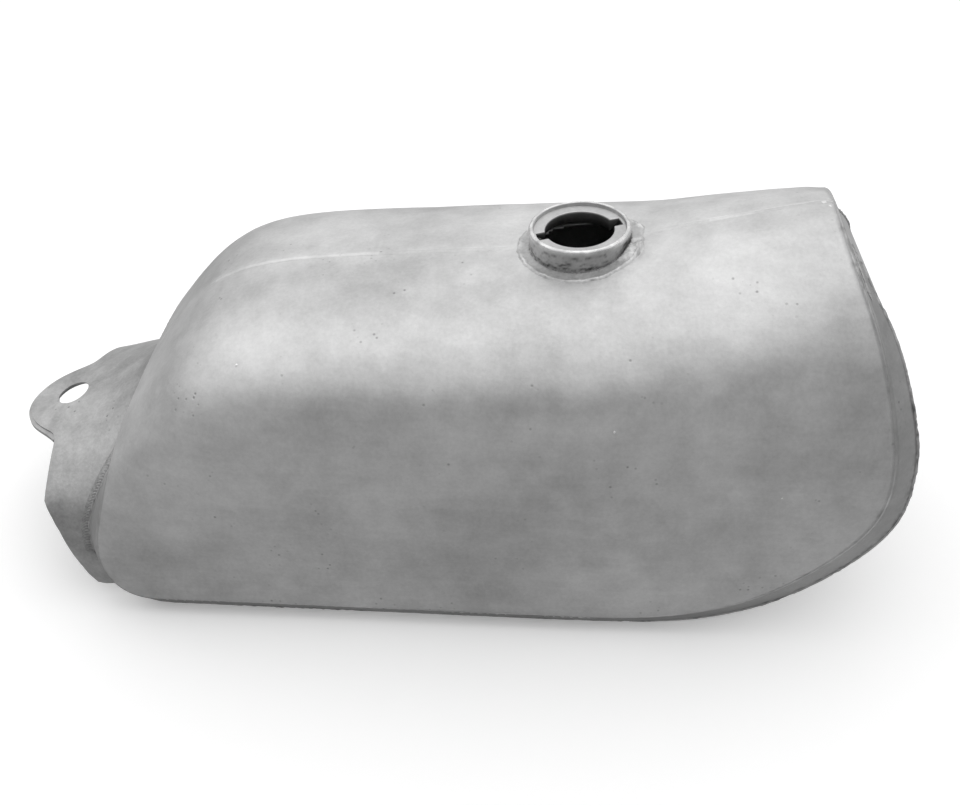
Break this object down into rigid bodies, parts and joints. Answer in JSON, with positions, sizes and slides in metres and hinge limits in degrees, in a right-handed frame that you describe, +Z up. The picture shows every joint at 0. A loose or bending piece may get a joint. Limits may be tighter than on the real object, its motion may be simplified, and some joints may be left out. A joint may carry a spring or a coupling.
{
  "type": "motorcycle fuel tank",
  "caption": "Welded bare-steel motorcycle fuel tank with a short filler neck, a bolted rear tongue and skirt, and a tunnel below for the frame tube.",
  "frame": {"origin": "centre of the rear bolt hole, in the middle of the tongue's sheet", "axes": "+X points forward along the tank, towards the nose; +Y to the rider's left; +Z up"},
  "size_m": [0.5699, 0.2302, 0.2537],
  "materials": {
    "bare_steel": "blasted bare sheet steel, matt with faint cloudy marks",
    "weld_bead": "rough weld bead, partly ground",
    "turned_steel": "satin turned or pressed steel"
  },
  "bodies": {
    "root": {"right_skin": "bare_steel", "left_skin": "bare_steel", "top_seam_weld": "weld_bead", "right_crease_weld": "weld_bead", "left_crease_weld": "weld_bead", "right_edge_strip": "bare_steel", "left_edge_strip": "bare_steel", "right_rim_weld": "weld_bead", "left_rim_weld": "weld_bead", "front_wall": "bare_steel", "rear_wall": "bare_steel", "right_floor": "bare_steel", "left_floor": "bare_steel", "frame_tunnel": "bare_steel", "tunnel_weld": "weld_bead", "rear_skirt": "bare_steel", "skirt_weld": "weld_bead", "tongue_doubler": "bare_steel", "filler_collar": "turned_steel", "bayonet_ring": "turned_steel", "filler_weld": "weld_bead", "fuel_tap_boss": "turned_steel", "tap_boss_weld": "weld_bead", "right_front_guide": "bare_steel", "left_front_guide": "bare_steel", "right_guide_weld": "weld_bead", "left_guide_weld": "weld_bead"}
  },
  "joints": []
}
